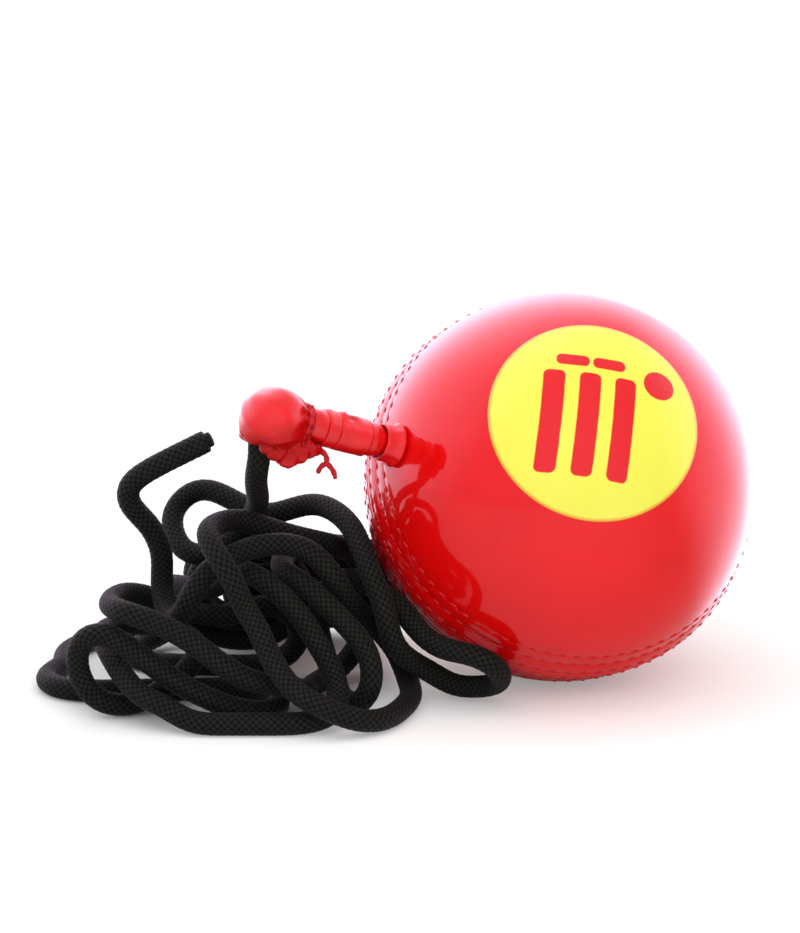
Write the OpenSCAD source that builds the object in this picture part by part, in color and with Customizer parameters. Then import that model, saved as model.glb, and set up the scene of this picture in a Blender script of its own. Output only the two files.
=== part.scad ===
// Hanging cricket ball: a stitched leather ball on a short bound stem, with its cord piled beside it.
// Sizes are in millimetres. The ball stands on its lowest point at the origin, +Z is up, and the
// viewer stands at -Y, so that the cord lies to the viewer's left.

/* [Ball] */
// Diameter of the ball over its leather
ball_d = 72; // [70:0.5:73]
// Thickness of the leather cover
cover_t = 4; // [3:0.5:5]
// Thickness of the string winding between the cover and the core
winding_t = 9; // [7:0.5:10]
// Turn of the seam's pole from straight ahead to the right, in degrees
seam_turn = 16; // [12:1:18]
// Rise of the seam's pole over the floor, in degrees
seam_rise = 32; // [28:1:36]

/* [Seam] */
// Height of the welt along the middle of the seam
welt_h = 0.5; // [0.3:0.1:0.6]
// Latitude at which the welt runs out into the leather, in degrees
welt_lat = 14; // [13:0.25:14]
// Latitude of the stitch row next to the middle, in degrees
row_lat = 2.4; // [2.2:0.1:2.8]
// Latitude from one stitch row to the next, in degrees
row_step_lat = 4.8; // [4.4:0.1:4.9]
// Stitches in each row
stitch_n = 80; // [60:1:84]
// Share of a stitch's pitch that its thread covers
stitch_share = 0.62; // [0.5:0.02:0.74]
// Thickness of the stitching thread
thread_d = 0.8; // [0.6:0.1:1]
// Height of a stitch over the leather
thread_rise = 0.3; // [0.2:0.05:0.35]
// Clearance between a thread and the leather that it is let into
thread_gap = 0.05; // [0.04:0.01:0.08]

/* [Print] */
// Distance across the printed disc
print_d = 38; // [32:1:42]
// Thickness of the printed film, let into the leather
print_t = 0.15; // [0.1:0.05:0.3]
// Turn of the disc from straight ahead to the right, in degrees
print_turn = 11; // [6:1:16]
// Rise of the disc over the floor, in degrees
print_rise = 32; // [28:1:36]

/* [Stem] */
// Turn of the stem from straight ahead to the right, in degrees
stem_turn = -61.5; // [-63:0.5:-61]
// Rise of the stem over the floor, in degrees
stem_rise = 18; // [17:0.5:19]
// Diameter of the stem's sleeve
stem_d = 6; // [5.6:0.1:6.4]
// Length of the stem from its bend at the ball to its bend at the cap
stem_len = 12.6; // [11:0.2:15]
// Distance of the bend at the ball from the leather
bend_rise = 5; // [4.8:0.1:6]
// Distance from a bend to the face that the stem seats in
bend_lip = 1.2; // [1.1:0.1:1.3]
// Distance from a bend to the nearest wrap
wrap_start = 1.8; // [1.6:0.1:2.2]
// Length of the wrap near the ball
ball_wrap_len = 5; // [4:0.2:6]
// Thickness of the wrap near the ball
ball_wrap_t = 0.4; // [0.3:0.05:0.5]
// Thickness of the wrap near the cap
cap_wrap_t = 0.15; // [0.1:0.05:0.25]
// Diameter of the collar where it meets the leather
collar_d = 8; // [7.6:0.1:8]
// Thickness of the collar's rolled rim
collar_rim = 1.2; // [1:0.1:1.6]

/* [Cap] */
// Diameter of the cap's dome
cap_d = 12.4; // [11.6:0.2:13]
// Distance of the dome's middle from the bend at the cap
cap_reach = 7.9; // [7.5:0.1:8.5]
// Diameter of the cap's neck
neck_d = 7.6; // [7.2:0.1:8]
// Diameter of the stopper knot inside the dome
stopper_d = 8; // [7:0.2:9]
// Lobes of gathered leather under the cap
lobe_n = 9; // [8:1:11]
// Diameter of one lobe
lobe_d = 4; // [3.8:0.1:4.4]
// Length of the oval of lobes, along the stem
gather_len = 9.6; // [9:0.1:10]
// Width of the oval of lobes
gather_w = 6.4; // [6:0.1:7]
// Distance of the lobes below the dome's middle
gather_drop = 6.4; // [6:0.1:6.6]
// Distance of the lobes' oval from under the dome towards the ball
gather_back = 3.4; // [3:0.1:3.6]
// Thickness of the binding thread
binding_d = 0.8; // [0.6:0.1:1]
// Distance of the binding from the cap's face
binding_in = 0.9; // [0.7:0.1:1]

/* [Cord] */
// Diameter of the braided cord
cord_d = 4; // [3.6:0.1:4]
// Length of the sealed tip at the cord's free end
tip_len = 6; // [4:0.5:8]
// Clearance between pieces that turn on each other, and round the cord
run_gap = 0.3; // [0.25:0.05:0.4]
// Diameter of the anchor washer in the core
washer_d = 13; // [11:0.5:14]
// Thickness of the anchor washer
washer_t = 1.5; // [1:0.1:2]
// Depth of the washer's seat below the core's surface
seat_depth = 7; // [6:0.5:8]
// Diameter of the anchor knot
anchor_d = 9; // [8:0.2:10]
// Share of the anchor knot's radius that is left where it bears on the washer
anchor_bear = 0.78; // [0.7:0.02:0.84]

/* [Hidden] */

$fn = 72;

ball_r = ball_d / 2;
winding_r = ball_r - cover_t;
core_r = winding_r - winding_t;
thread_r = thread_d / 2;
stem_r = stem_d / 2;
cord_r = cord_d / 2;
bore_r = cord_r + run_gap;
beyond = 2 * ball_d;

// The welt is a round band whose arc passes through the seam's middle and both places where it runs out
welt_arc = (2 * ball_r * welt_h + welt_h ^ 2) / (2 * (ball_r + welt_h - ball_r * cos(welt_lat)));
welt_mid = ball_r + welt_h - welt_arc;

// Stations along the stem's axis, measured from the ball's middle
ball_bend_s = ball_r + bend_rise;
cap_bend_s = ball_bend_s + stem_len;
cap_face_s = cap_bend_s + bend_lip;
dome_s = cap_bend_s + cap_reach;
seat_s = core_r - seat_depth;
washer_s = seat_s - run_gap - washer_t;
anchor_s = washer_s - anchor_bear * anchor_d / 2;

// Route of the cord, from the cap to the free end, in the order in which it is laid
drop_route = [
    [-54, -27, 51], [-54, -27, 47], [-55, -24, 43], [-55, -18, 39], [-55, -12, 36], [-57, -8, 31], [-61, -7, 27]
];
side_route = [
    [-66, -6, 24], [-70, -4, 25], [-72, 0, 28], [-72, 3, 31], [-69, 5, 34], [-65, 4, 35], [-60, 1, 33],
    [-55, -2, 31], [-51, -3, 32], [-46, -4, 34], [-42, -8, 34], [-38, -14, 32], [-36, -19, 28], [-34, -23, 24],
    [-32, -25, 19], [-31, -25, 13], [-28, -22, 9], [-24, -19, 6], [-20, -18, 3], [-16, -19, 3], [-12, -21, 4],
    [-11, -25, 7], [-13, -28, 10], [-17, -28, 12], [-22, -26, 12], [-26, -22, 14], [-29, -20, 18]
];
first_heap_route = [
    [-34, -16, 21], [-38, -11, 22], [-44, -9, 19], [-45, -11, 12], [-42, -18, 6], [-40, -25, 2], [-36, -30, 3],
    [-34, -31, 8], [-35, -29, 13], [-39, -27, 17], [-43, -26, 21], [-47, -24, 24], [-51, -19, 25],
    [-51, -11, 25], [-49, -4, 26], [-48, 2, 26]
];
middle_heap_route = [
    [-74, 4, 15], [-72, -1, 18], [-67, -7, 18], [-62, -12, 20], [-60, -18, 25], [-56, -24, 26], [-51, -27, 23],
    [-47, -28, 19], [-44, -29, 14], [-41, -30, 9], [-40, -32, 5], [-41, -36, 3], [-46, -38, 2], [-53, -38, 2],
    [-60, -38, 2], [-66, -38, 2], [-71, -36, 5], [-75, -35, 6], [-79, -30, 9], [-82, -24, 12], [-84, -17, 13],
    [-81, -8, 12], [-73, -5, 11], [-65, -11, 9], [-68, -20, 6], [-75, -25, 2], [-81, -28, 2], [-85, -29, 5],
    [-87, -29, 10], [-86, -30, 15], [-82, -31, 17], [-77, -31, 14], [-72, -32, 10], [-67, -33, 7],
    [-61, -33, 4], [-55, -32, 2], [-51, -29, 2], [-51, -22, 2], [-55, -16, 2], [-62, -16, 2], [-69, -17, 2],
    [-76, -17, 2], [-84, -18, 2], [-92, -17, 2], [-96, -9, 2], [-92, -1, 2],
    [-94, 6, 2], [-91, 15, 2], [-83, 22.5, 2.4], [-72, 26, 3.6]
];
last_heap_route = [
    [-69, 18, 9], [-73, 18, 4], [-79, 14, 2], [-82, 7, 2], [-78, 1, 2], [-70, -1, 2],
    [-62, -1, 2], [-54, -2, 2], [-48, -4, 6], [-48, -7, 13], [-54, -10, 17], [-60, -12, 14], [-68, -12, 15],
    [-75, -11, 18], [-80, -15, 20], [-82, -25, 20], [-78, -33, 21], [-72, -33, 19], [-66, -34, 16],
    [-62, -35, 13], [-58, -35, 10], [-54, -34, 8], [-49, -31, 7], [-46, -26, 4], [-47, -20, 2], [-45, -12, 2],
    [-40, -4, 2], [-35, 1, 9], [-35, 0, 18], [-38, -5, 25], [-42, -12, 28], [-47, -16, 30], [-53, -17, 32],
    [-58, -17, 34], [-62, -20, 34], [-64, -28, 34], [-61, -34, 31], [-58, -34, 26], [-57, -33, 22],
    [-54, -34, 18], [-52, -36, 13], [-48, -39, 8], [-43, -41, 6], [-37, -40, 3], [-32, -36, 2], [-29, -29, 2],
    [-27, -21, 2], [-28, -14, 3], [-30, -11, 8], [-34, -13, 13], [-37, -19, 17], [-40, -22, 22],
    [-42, -23, 26], [-46, -22, 30], [-52, -23, 31], [-57, -24, 30]
];
tail_route = [
    [-62, -26, 28], [-66, -28, 24], [-68, -27, 18], [-71, -21, 16], [-73, -15, 21], [-72, -16, 27],
    [-74, -18, 33], [-78, -20, 37], [-78, -21, 41], [-74, -22, 44], [-68, -22, 47]
];

// Coils that lean on the back of the pile: each winds inwards, steps a layer nearer and winds out again, and a
// long one is drawn out sideways by its reach, with shoulders that set how soon its ends turn
coil_lean = 25;
coil_step = 30;
coil_shoulder = 1.6;
coil_side = [1, 0, 0];
coil_up = [0, -sin(coil_lean), cos(coil_lean)];
coil_back = [0, cos(coil_lean), sin(coil_lean)];
function eased(x) = let (u = max(0, min(1, x))) u * u * (3 - 2 * u);
function coil(middle, r, pitch, start, layer_at, finish, reach = 0) =
    let (way = sign(finish - start))
    [
        for (a = [start:way * coil_step:finish])
            let (
                radius = r - pitch * (abs(start - layer_at) - abs(a - layer_at)) / 360,
                depth = pitch * (1 - eased((way * (a - layer_at) + 90) / 180)),
                sideways = radius * cos(a) + reach * max(-1, min(1, coil_shoulder * cos(a)))
            )
            middle + depth * coil_back + sideways * coil_side + radius * sin(a) * coil_up
    ];
round_coil = coil([-59, 5, 15], 13, 4.8, 30, -390, -870);
long_coil = coil([-47.5, 18.4, 11.5], 10.3, 5.2, 255, 720, 1230, 8.5);

heap_route = concat(first_heap_route, round_coil, middle_heap_route, long_coil, last_heap_route);
route = concat(drop_route, side_route, heap_route, tail_route);
side_from = len(drop_route);
heap_from = side_from + len(side_route);
tail_from = heap_from + len(heap_route);

// The cord's middle line is a smooth curve drawn by the route's points
cord_sides = 8;
cord_rings = 2;
route_n = len(route);
guide = concat([2 * route[0] - route[1]], route, [2 * route[route_n - 1] - route[route_n - 2]]);
function unit(v) = v / norm(v);
function on_curve(i, t) = ((1 - t) ^ 3 * guide[i] + (3 * t ^ 3 - 6 * t ^ 2 + 4) * guide[i + 1]
    + (3 * t + 3 * t ^ 2 - 3 * t ^ 3 + 1) * guide[i + 2] + t ^ 3 * guide[i + 3]) / 6;
middle_line = [
    for (i = [0:route_n - 2], k = [0:cord_rings - 1]) on_curve(i, k / cord_rings),
    route[route_n - 1]
];
line_n = len(middle_line);
headings = [for (i = [0:line_n - 1]) unit(middle_line[min(i + 1, line_n - 1)] - middle_line[max(i - 1, 0)])];
function squared(v, heading) = unit(v - (v * heading) * heading);
normals = [
    for (i = 0, v = squared([1, 0, 0], headings[0]); i < line_n;
        i = i + 1, v = squared(v, headings[min(i, line_n - 1)])) v
];
function cord_ring(i) = [
    for (k = [0:cord_sides - 1])
        let (a = 360 * k / cord_sides)
        middle_line[i] + cord_r * (cos(a) * normals[i] + sin(a) * cross(headings[i], normals[i]))
];

// Least gap between stretches of the cord that lie further apart along it than a bend takes up
bend_rings = 6;
cord_gap = min([
    for (i = [0:line_n - 1], j = [i + bend_rings:1:line_n - 1]) norm(middle_line[i] - middle_line[j])
]) - cord_d;

// Sets the +Z axis at the ball's middle to face a turn and a rise
module facing(turn, rise) {
    translate([0, 0, ball_r])
        rotate([0, 0, turn])
            rotate([90 - rise, 0, 0])
                children();
}

// A place on the stem's axis, with +Z leading away from the ball
module on_stem(s) {
    facing(stem_turn, stem_rise)
        translate([0, 0, s])
            children();
}

// The half of space on one side of the seam
module seam_half(side) {
    translate([0, 0, side * beyond / 2])
        cube(beyond, center = true);
}

// The drilled way for the cord, from the core's pocket to the leather
module cord_way() {
    on_stem(washer_s)
        cylinder(r = bore_r, h = ball_r);
}

module core_half(side) {
    difference() {
        facing(seam_turn, seam_rise)
            intersection() {
                sphere(r = core_r);
                seam_half(side);
            }
        cord_way();
        on_stem(anchor_s - anchor_d / 2 - run_gap)
            cylinder(d = washer_d + 2 * run_gap, h = seat_s - anchor_s + anchor_d / 2 + run_gap);
    }
}

module core_front() {
    color("burlywood")
        core_half(1);
}

module core_rear() {
    color("tan")
        core_half(-1);
}

module string_winding() {
    color("wheat")
        difference() {
            facing(seam_turn, seam_rise)
                sphere(r = winding_r);
            facing(seam_turn, seam_rise)
                sphere(r = core_r);
            cord_way();
        }
}

// Distance from the ball's middle to the top of the welt at a latitude
function welt_top(lat) = welt_mid * cos(lat) + sqrt(welt_arc ^ 2 - (welt_mid * sin(lat)) ^ 2);

// The section of a row of stitching, turned round the seam's pole through an angle
module row_thread(lat, turn, gap = 0) {
    reach = welt_top(lat) + thread_rise - thread_r;
    rotate_extrude(angle = turn)
        translate([reach * cos(lat), reach * sin(lat)])
            circle(r = thread_r + gap, $fn = 20);
}

function row_at(row) = row_lat + (row - 1) * row_step_lat;

module cover_half(side) {
    facing(seam_turn, seam_rise)
        difference() {
            union() {
                sphere(r = ball_r);
                rotate_extrude()
                    translate([welt_mid, 0])
                        circle(r = welt_arc);
            }
            sphere(r = winding_r);
            seam_half(-side);
            for (row = [1:3])
                row_thread(side * row_at(row), 360, thread_gap);
        }
}

module cover_front() {
    color("crimson")
        difference() {
            cover_half(1);
            cord_way();
            facing(print_turn, print_rise)
                difference() {
                    cylinder(d = print_d, h = ball_d);
                    sphere(r = ball_r - print_t);
                }
        }
}

module cover_rear() {
    color("crimson")
        cover_half(-1);
}

module stitch_row(side, row) {
    pitch = 360 / stitch_n;
    color("darkred")
        facing(seam_turn, seam_rise)
            for (i = [0:stitch_n - 1])
                rotate([0, 0, i * pitch])
                    row_thread(side * row_at(row), stitch_share * pitch);
}

module print_disc() {
    color("gold")
        facing(print_turn, print_rise)
            intersection() {
                difference() {
                    sphere(r = ball_r);
                    sphere(r = ball_r - print_t);
                }
                cylinder(d = print_d, h = ball_d);
            }
}

module stem_collar() {
    rim_r = collar_rim / 2;
    collar_h = bend_rise - bend_lip;
    color("firebrick")
        difference() {
            union() {
                on_stem(ball_r - rim_r)
                    cylinder(d1 = collar_d - collar_rim, r2 = stem_r + ball_wrap_t, h = collar_h + rim_r);
                on_stem(ball_r + rim_r / 2)
                    rotate_extrude()
                        translate([collar_d / 2 - rim_r, 0])
                            circle(r = rim_r, $fn = 32);
            }
            on_stem(0)
                sphere(r = ball_r + run_gap, $fn = 360);
            on_stem(ball_bend_s)
                sphere(r = stem_r + run_gap);
            on_stem(0)
                cylinder(r = cord_r, h = ball_bend_s);
        }
}

module cord_in_ball() {
    color("black")
        difference() {
            on_stem(anchor_s)
                cylinder(r = cord_r, h = ball_bend_s - anchor_s);
            on_stem(ball_bend_s)
                sphere(r = stem_r + run_gap);
        }
}

module anchor_washer() {
    color("dimgray")
        on_stem(washer_s)
            difference() {
                cylinder(d = washer_d, h = washer_t);
                translate([0, 0, -washer_t])
                    cylinder(r = cord_r, h = 3 * washer_t);
            }
}

module anchor_knot() {
    color("black")
        difference() {
            on_stem(anchor_s)
                sphere(d = anchor_d);
            on_stem(washer_s)
                cylinder(d = washer_d, h = washer_d);
            on_stem(anchor_s)
                cylinder(r = cord_r, h = anchor_d);
        }
}

// The stem with its two rounded ends, on which it bends at the ball and at the cap
module stem_form() {
    end_r = stem_r - 0.1;
    on_stem(ball_bend_s)
        cylinder(r = stem_r, h = stem_len);
    on_stem(ball_bend_s)
        sphere(r = end_r);
    on_stem(cap_bend_s)
        sphere(r = end_r);
}

module stem_cord_line() {
    on_stem(ball_bend_s - stem_d)
        cylinder(r = cord_r, h = stem_len + 2 * stem_d);
}

module stem_sleeve() {
    color("red")
        difference() {
            stem_form();
            stem_cord_line();
        }
}

module cord_in_stem() {
    color("black")
        intersection() {
            stem_form();
            stem_cord_line();
        }
}

module wrap(from_s, to_s, from_t, to_t) {
    difference() {
        on_stem(from_s)
            cylinder(r1 = stem_r + from_t, r2 = stem_r + to_t, h = to_s - from_s);
        on_stem(ball_bend_s)
            cylinder(r = stem_r, h = stem_len);
    }
}

wrap_edge_s = ball_bend_s + wrap_start + ball_wrap_len;

module ball_wrap() {
    color("firebrick")
        wrap(ball_bend_s + wrap_start, wrap_edge_s, ball_wrap_t, ball_wrap_t);
}

module cap_wrap() {
    color("red")
        wrap(wrap_edge_s, cap_bend_s - wrap_start, cap_wrap_t, cap_wrap_t);
}

// Leather gathered into lobes on an oval under the dome
module gathered_lobes(gap = 0) {
    translate([0, 0, ball_r])
        rotate([0, 0, stem_turn])
            translate([0, gather_back - dome_s * cos(stem_rise), dome_s * sin(stem_rise) - gather_drop])
                for (i = [0:lobe_n - 1])
                    let (a = 360 * i / lobe_n)
                    translate([gather_w / 2 * cos(a), gather_len / 2 * sin(a), 0])
                        sphere(d = lobe_d + 2 * gap, $fn = 32);
}

module binding_ring() {
    on_stem(cap_face_s + binding_in)
        rotate_extrude()
            translate([neck_d / 2, 0])
                circle(d = binding_d, $fn = 20);
}

module cap() {
    color("red")
        difference() {
            union() {
                on_stem(dome_s)
                    sphere(d = cap_d);
                on_stem(cap_face_s)
                    cylinder(d = neck_d, h = dome_s - cap_face_s);
                gathered_lobes();
            }
            on_stem(dome_s)
                sphere(d = stopper_d);
            on_stem(cap_bend_s)
                sphere(r = stem_r + run_gap);
            on_stem(ball_bend_s)
                cylinder(r = stem_r + ball_wrap_t + run_gap, h = stem_len);
            binding_ring();
            translate(route[0] - [0, 0, cap_d])
                cylinder(r = bore_r, h = cap_d + cord_r);
        }
}

module stopper_knot() {
    color("black")
        on_stem(dome_s)
            sphere(d = stopper_d);
}

// The binding's two loose ends hang below the lobes as a fork
fork_top = [-42.4, -25, 47.6];
fork_mid = [-42.3, -25, 45.8];
fork_left = [-43.9, -25, 44];
fork_right = [-40.8, -25, 43];

module strand(from, to) {
    run = to - from;
    translate(from)
        rotate([0, acos(run.z / norm(run)), atan2(run.y, run.x)])
            cylinder(d = binding_d, h = norm(run), $fn = 20);
}

module binding_thread() {
    color("firebrick") {
        binding_ring();
        difference() {
            strand(fork_top, fork_mid);
            gathered_lobes(thread_gap);
        }
        strand(fork_mid, fork_left);
        strand(fork_mid, fork_right);
        translate(fork_mid)
            sphere(d = 1.2 * binding_d, $fn = 20);
    }
}

// A stretch of the cord between two of the route's points
module cord_run(from, to) {
    rings = [for (i = [from * cord_rings:to * cord_rings]) cord_ring(i)];
    ring_n = len(rings);
    last = (ring_n - 1) * cord_sides;
    walls = [
        for (i = [0:ring_n - 2], k = [0:cord_sides - 1])
            let (a = i * cord_sides + k, b = i * cord_sides + (k + 1) % cord_sides)
            each [[a, a + cord_sides, b], [b, a + cord_sides, b + cord_sides]]
    ];
    start = [for (k = [1:cord_sides - 2]) [0, k, k + 1]];
    end = [for (k = [1:cord_sides - 2]) [last, last + k + 1, last + k]];
    polyhedron([for (ring = rings) each ring], concat(start, walls, end));
}

module cord_drop() {
    color("black")
        cord_run(0, side_from);
}

module cord_side_loop() {
    color("black")
        cord_run(side_from, heap_from);
}

module cord_heap() {
    echo(least_gap_of_cord = cord_gap);
    color("black")
        cord_run(heap_from, tail_from);
}

module cord_tail() {
    color("black")
        cord_run(tail_from, route_n - 1);
}

module cord_tip() {
    way = route[route_n - 1] - route[route_n - 2];
    color("black")
        translate(route[route_n - 1])
            rotate([0, acos(way.z / norm(way)), atan2(way.y, way.x)])
                cylinder(r = cord_r, h = tip_len);
}

core_front();
core_rear();
string_winding();
cover_front();
cover_rear();
stitch_row(1, 1);  // front_row_1
stitch_row(1, 2);  // front_row_2
stitch_row(1, 3);  // front_row_3
stitch_row(-1, 1);  // rear_row_1
stitch_row(-1, 2);  // rear_row_2
stitch_row(-1, 3);  // rear_row_3
print_disc();
stem_collar();
cord_in_ball();
anchor_washer();
anchor_knot();
stem_sleeve();
ball_wrap();
cap_wrap();
cord_in_stem();
cap();
stopper_knot();
binding_thread();
cord_drop();
cord_side_loop();
cord_heap();
cord_tail();
cord_tip();
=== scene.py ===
import math
import bpy
import numpy as np
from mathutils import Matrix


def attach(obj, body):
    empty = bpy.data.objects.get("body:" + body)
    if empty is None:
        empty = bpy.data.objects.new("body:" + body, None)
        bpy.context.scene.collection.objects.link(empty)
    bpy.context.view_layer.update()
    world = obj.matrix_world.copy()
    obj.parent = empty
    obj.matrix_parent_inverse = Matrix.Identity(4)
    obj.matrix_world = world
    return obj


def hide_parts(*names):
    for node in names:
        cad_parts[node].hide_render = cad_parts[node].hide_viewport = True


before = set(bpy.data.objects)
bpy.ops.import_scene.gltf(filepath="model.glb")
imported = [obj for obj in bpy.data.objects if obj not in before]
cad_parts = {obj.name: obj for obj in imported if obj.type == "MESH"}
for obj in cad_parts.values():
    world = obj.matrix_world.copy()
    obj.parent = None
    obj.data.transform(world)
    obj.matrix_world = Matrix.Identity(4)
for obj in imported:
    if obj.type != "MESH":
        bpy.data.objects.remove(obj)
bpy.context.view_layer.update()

mm = 0.001
scene = bpy.context.scene
print("frame loaded:", len(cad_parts), "solids")


# Shader maths: a wrapped socket whose operators add Math nodes
class Value:
    def __init__(self, nodes, socket):
        self.nodes, self.socket = nodes, socket

    def maths(self, operation, *others):
        return self.nodes.maths(operation, self, *others)

    def __add__(self, other):
        return self.maths("ADD", other)

    def __mul__(self, other):
        return self.maths("MULTIPLY", other)

    def __sub__(self, other):
        return self.maths("SUBTRACT", other)

    def __rsub__(self, other):
        return self.nodes.maths("SUBTRACT", other, self)

    __radd__ = __add__
    __rmul__ = __mul__

    def floor(self):
        return self.maths("FLOOR")

    def sine(self):
        return self.maths("SINE")

    def size(self):
        return self.maths("ABSOLUTE")

    def least(self, other):
        return self.maths("MINIMUM", other)

    def most(self, other):
        return self.maths("MAXIMUM", other)

    def between(self, low, high):  # a smooth step from 0 at low to 1 at high
        return self.nodes.node("ShaderNodeMapRange", {"interpolation_type": "SMOOTHSTEP"},
                               {0: self, 1: low, 2: high})


# One node tree: node() takes a type, its settings and its inputs, and hands back one output
class Nodes:
    def __init__(self, tree):
        self.tree = tree

    def node(self, kind, settings=None, inputs=None, output=0):
        made = self.tree.nodes.new(kind)
        for key, value in (settings or {}).items():
            setattr(made, key, value)
        for key, value in (inputs or {}).items():
            if isinstance(value, Value):
                self.tree.links.new(value.socket, made.inputs[key])
            else:
                made.inputs[key].default_value = value
        return Value(self, made.outputs[output]) if made.outputs else made

    def maths(self, operation, *values):
        return self.node("ShaderNodeMath", {"operation": operation}, dict(enumerate(values)))

    def vector(self, operation, *values):
        output = "Value" if operation in ("DOT_PRODUCT", "LENGTH", "DISTANCE") else "Vector"
        return self.node("ShaderNodeVectorMath", {"operation": operation}, dict(enumerate(values)), output)

    def parts(self, vector):  # a vector's three numbers
        split = self.node("ShaderNodeSeparateXYZ", inputs={0: vector}).socket.node
        return [Value(self, output) for output in split.outputs]

    def pieceMap(self):  # the two numbers of the piece's own map
        return self.parts(self.node("ShaderNodeUVMap", {"uv_map": "pieceMap"}))[:2]

    def mix(self, share, first, second):
        return self.node("ShaderNodeMix", {"data_type": "RGBA"}, {0: share, 6: first, 7: second}, 2)

    def place(self):  # the point on the piece, in metres
        return self.node("ShaderNodeTexCoord", output="Object")

    def noise(self, scale, detail=2.0, rough=0.5, at=None):
        return self.node("ShaderNodeTexNoise", inputs={
            "Vector": at or self.place(), "Scale": scale, "Detail": detail, "Roughness": rough})

    def cells(self, scale, feature="F1"):
        return self.node("ShaderNodeTexVoronoi", {"feature": feature}, {"Vector": self.place(), "Scale": scale})

    def bump(self, height, strength, distance):
        return self.node("ShaderNodeBump", inputs={"Height": height, "Strength": strength, "Distance": distance})


# A material: fixed numbers go onto the shader's own sockets, and drawn values are linked to them
def newFinish(name, draw, **fixed):
    material = bpy.data.materials.new(name)
    material.use_nodes = True
    nodes = Nodes(material.node_tree)
    shader = material.node_tree.nodes["Principled BSDF"]
    for key, value in fixed.items():
        shader.inputs[key.replace("_", " ")].default_value = value
    for key, value in draw(nodes).items():
        material.node_tree.links.new(value.socket, shader.inputs[key])
    return material


def colour(red, green, blue):
    return (red, green, blue, 1.0)


# Shapes are dictionaries of points, quads, triangles and the map of their corners
# Quads join neighbouring points of a grid, whose columns close round and whose rows close too if asked
def gridQuads(rows, columns, closeRows=False):
    i, k = np.meshgrid(np.arange(rows if closeRows else rows - 1), np.arange(columns), indexing="ij")
    nextRow, nextColumn = (i + 1) % rows, (k + 1) % columns
    return np.stack([i * columns + k, i * columns + nextColumn,
                     nextRow * columns + nextColumn, nextRow * columns + k], -1).reshape(-1, 4)


# A skin over rings of points, with a fan of triangles to a middle point at each end that has one
def skin(rings, start=None, end=None, closeRows=False, rowMap=None):
    rows, columns, _ = rings.shape
    rowMap = np.linspace(0, 1, rows + closeRows) if rowMap is None else rowMap
    i, k = np.meshgrid(np.arange(rows if closeRows else rows - 1), np.arange(columns), indexing="ij")
    around = np.stack([k, k + 1, k + 1, k], -1) / columns
    along = rowMap[np.stack([i, i, i + 1, i + 1], -1)]
    maps = [np.stack([around, along], -1).reshape(-1, 2)]
    points, fans = [rings.reshape(-1, 3)], []
    ring = np.arange(columns)
    after = (ring + 1) % columns
    for pole, row, turned in ((start, 0, True), (end, rows - 1, False)):
        if pole is not None:
            middle = np.full(columns, sum(len(p) for p in points))
            points.append(np.asarray(pole, float).reshape(1, 3))
            pair = (after, ring) if turned else (ring, after)
            fans.append(np.stack([middle, row * columns + pair[0], row * columns + pair[1]], -1))
            maps.append(np.stack([np.repeat(ring / columns, 3), np.full(3 * columns, rowMap[row])], -1))
    return {"points": np.vstack(points), "quads": gridQuads(rows, columns, closeRows),
            "fans": np.vstack(fans) if fans else np.zeros((0, 3), int), "map": np.vstack(maps)}


# Several shapes in one: their points are stacked and their faces count on from those before
def joined(shapes):
    first = np.cumsum([0] + [len(s["points"]) for s in shapes])
    quadMaps = [s["map"][:4 * len(s["quads"])] for s in shapes]
    fanMaps = [s["map"][4 * len(s["quads"]):] for s in shapes]
    return {"points": np.vstack([s["points"] for s in shapes]),
            "quads": np.vstack([s["quads"] + n for s, n in zip(shapes, first)]),
            "fans": np.vstack([s["fans"] + n for s, n in zip(shapes, first)]),
            "map": np.vstack(quadMaps + fanMaps)}


# A smooth mesh in metres from a shape in millimetres, with the shape's map
def newMesh(name, shape):
    corners = np.concatenate([shape["quads"].ravel(), shape["fans"].ravel()])
    sizes = np.concatenate([np.full(len(shape["quads"]), 4), np.full(len(shape["fans"]), 3)])
    mesh = bpy.data.meshes.new(name)
    mesh.vertices.add(len(shape["points"]))
    mesh.vertices.foreach_set("co", (shape["points"] * mm).astype(np.float32).ravel())
    mesh.loops.add(len(corners))
    mesh.loops.foreach_set("vertex_index", corners.astype(np.int32))
    mesh.polygons.add(len(sizes))
    mesh.polygons.foreach_set("loop_start", np.concatenate([[0], np.cumsum(sizes)[:-1]]).astype(np.int32))
    mesh.update(calc_edges=True)
    mesh.uv_layers.new(name="pieceMap").uv.foreach_set("vector", shape["map"].astype(np.float32).ravel())
    mesh.validate()
    mesh.shade_smooth()
    return mesh


# A finished object on its body, in place of its solids
def newPiece(name, shape, finish, body, slot, *nodes):
    mesh = shape if isinstance(shape, bpy.types.Mesh) else newMesh(name, shape)
    piece = bpy.data.objects.new(name, mesh)
    scene.collection.objects.link(piece)
    mesh.materials.clear()
    mesh.materials.append(finish)
    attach(piece, body)
    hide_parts(*nodes)
    print(name, "made:", len(mesh.polygons), "faces")
    return piece


# From 0 to 1 with level ends: three squares less two cubes
def smoothStep(x):
    x = np.clip(x, 0, 1)
    return x * x * (3 - 2 * x)


# A vector divided by its length
def unit(v):
    return v / np.linalg.norm(v, axis=-1, keepdims=True)


# Three axes for something that faces a turn to the right and a rise over the floor: across, up its face and out
def facing(turn, rise):
    turn, rise = np.radians([turn, rise])
    out = np.array([np.cos(rise) * np.sin(turn), -np.cos(rise) * np.cos(turn), np.sin(rise)])
    across = np.array([np.cos(turn), np.sin(turn), 0.0])
    return across, np.cross(out, across), out


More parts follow.
